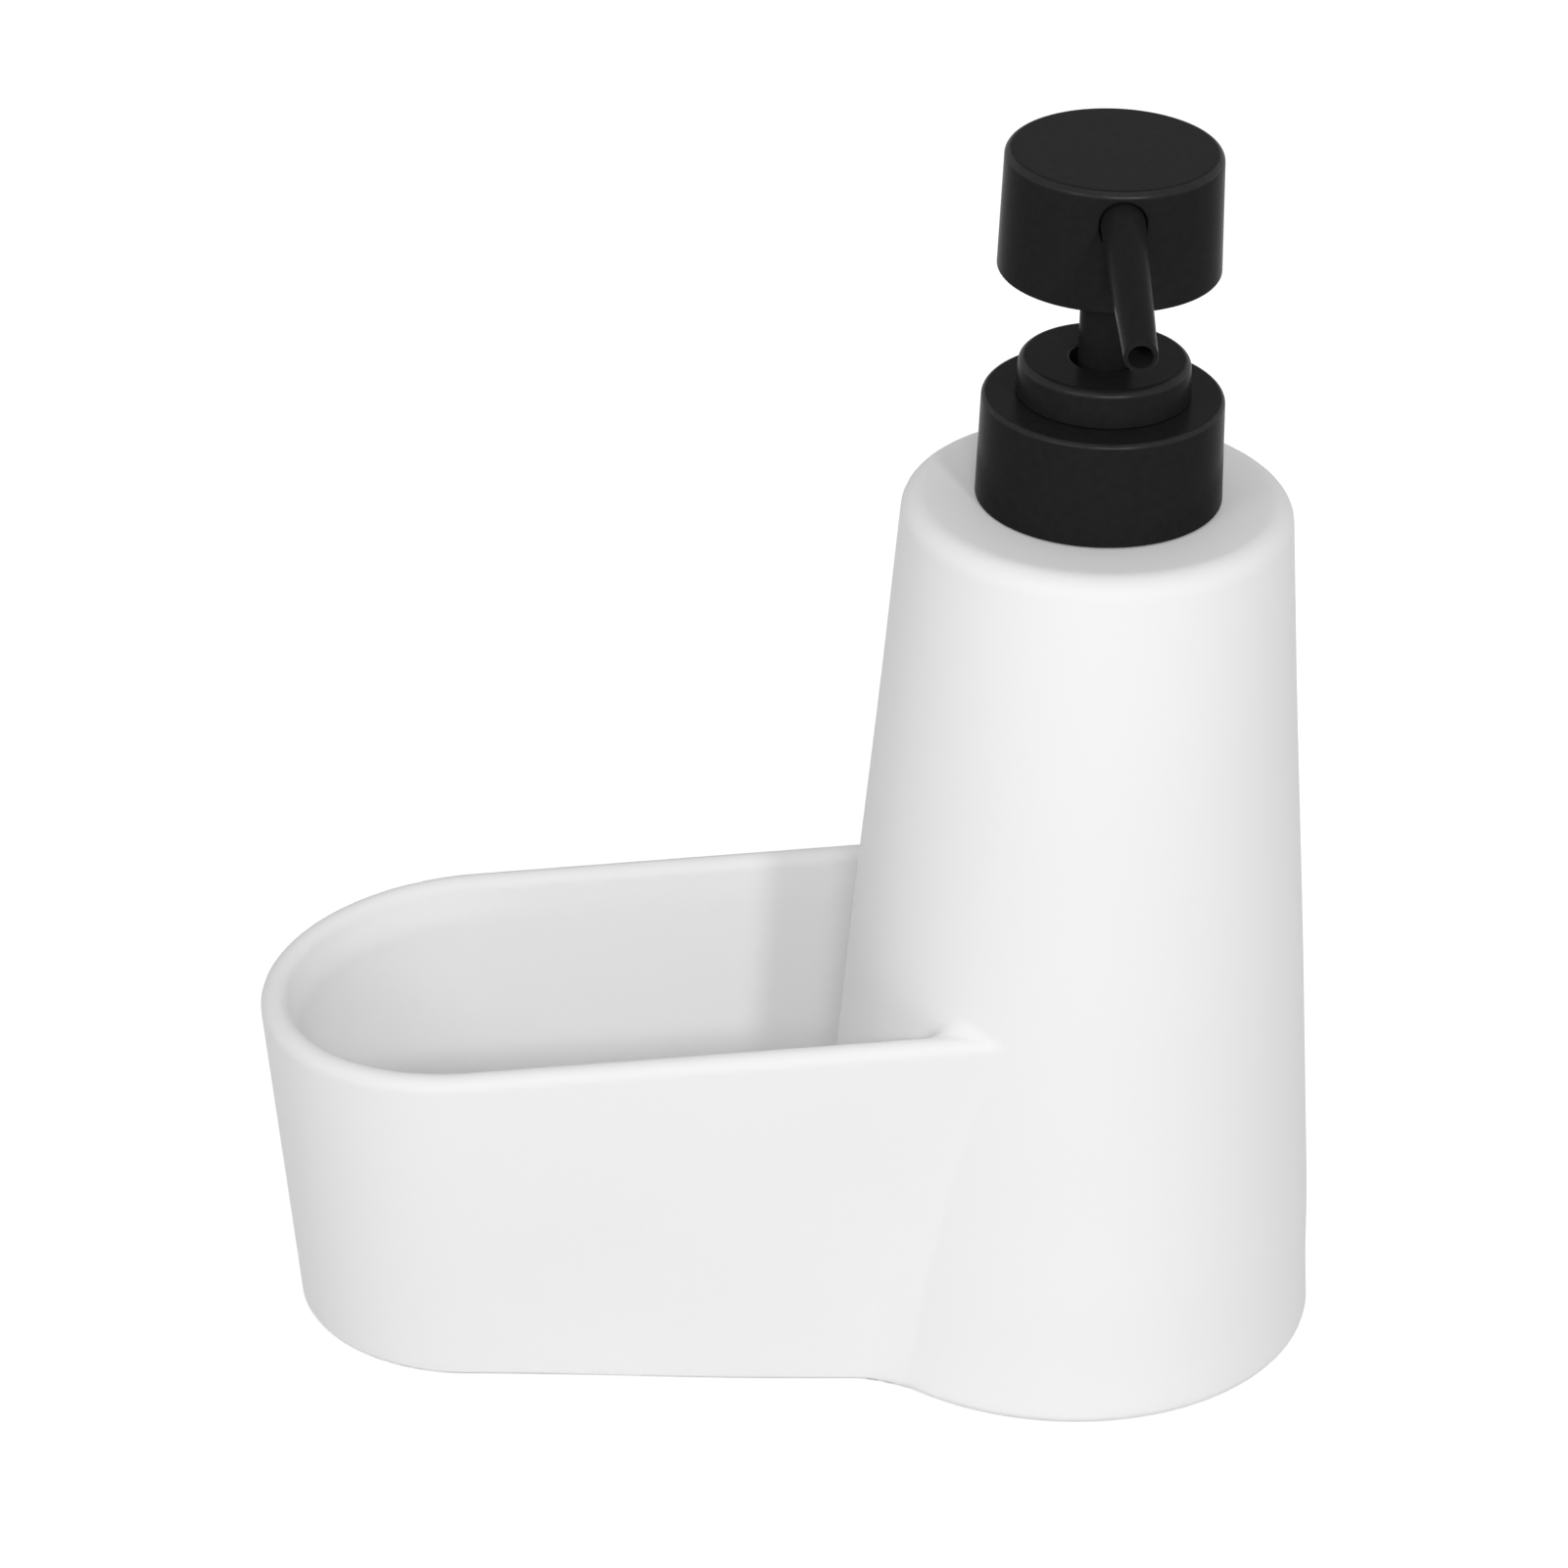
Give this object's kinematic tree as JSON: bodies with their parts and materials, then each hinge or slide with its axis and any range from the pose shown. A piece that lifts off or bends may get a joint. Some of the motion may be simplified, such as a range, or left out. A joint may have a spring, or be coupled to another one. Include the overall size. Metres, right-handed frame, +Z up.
{
  "type": "soap pump caddy",
  "caption": "Tapered refillable soap bottle with a press-down pump head and spout, moulded in one with an open round-ended tray for a sponge or pad.",
  "frame": {"origin": "on the surface the caddy stands on, under the pump's axis", "axes": "+Z up along the pump's axis, the tray lies towards -X, the spout points towards -Y"},
  "size_m": [0.1679, 0.0877, 0.2003],
  "materials": {
    "white_body": "fine matte moulded white plastic",
    "black_plastic": "satin black moulded plastic",
    "natural_plastic": "natural translucent plastic",
    "neck_plastic": "satin white plastic",
    "seal_plastic": "soft waxy plastic",
    "seal_rubber": "soft rubber",
    "pad_rubber": "matte foam rubber",
    "spring_steel": "drawn steel wire",
    "ball_steel": "ground steel"
  },
  "bodies": {
    "caddy": {"caddy_body": "white_body", "base_plate": "white_body", "base_pad": "pad_rubber", "neck_insert": "neck_plastic"},
    "pump": {"neck_gasket": "seal_rubber", "pump_housing": "natural_plastic", "guide_bush": "natural_plastic", "wiper_ring": "seal_rubber", "guide_collar": "black_plastic", "dip_tube": "natural_plastic", "ball_retainer": "natural_plastic", "return_spring": "spring_steel"},
    "collar": {"closure_nut": "black_plastic", "collar_shell": "black_plastic"},
    "inlet_valve": {"inlet_ball": "ball_steel"},
    "piston": {"piston_seal": "seal_plastic"},
    "head": {"piston_rod": "natural_plastic", "stem": "black_plastic", "actuator_core": "black_plastic", "spout_tube": "black_plastic", "head_shell": "black_plastic"},
    "outlet_valve": {"outlet_ball": "ball_steel"}
  },
  "joints": [
    {"name": "pump_lift", "type": "slide", "parent": "caddy", "child": "pump", "axis": [0, 0, 1], "range_m": [0, 0.15]},
    {"name": "collar_turn", "type": "hinge", "parent": "pump", "child": "collar", "pos_m": [0, 0, 0.15], "axis": [0, 0, 1], "range_deg": [0, 540]},
    {"name": "inlet_ball_lift", "type": "slide", "parent": "pump", "child": "inlet_valve", "axis": [0, 0, 1], "range_m": [0, 0.0012]},
    {"name": "head_press", "type": "slide", "parent": "pump", "child": "piston", "axis": [0, 0, -1], "range_m": [0, 0.012], "stiffness_N_per_m": 400, "springref_m": -0.008, "deforming": ["return_spring"]},
    {"name": "head_turn", "type": "hinge", "parent": "piston", "child": "head", "pos_m": [0, 0, 0.19], "axis": [0, 0, 1], "continuous": true},
    {"name": "outlet_ball_lift", "type": "slide", "parent": "head", "child": "outlet_valve", "axis": [0, 0, 1], "range_m": [0, 0.0012]}
  ]
}
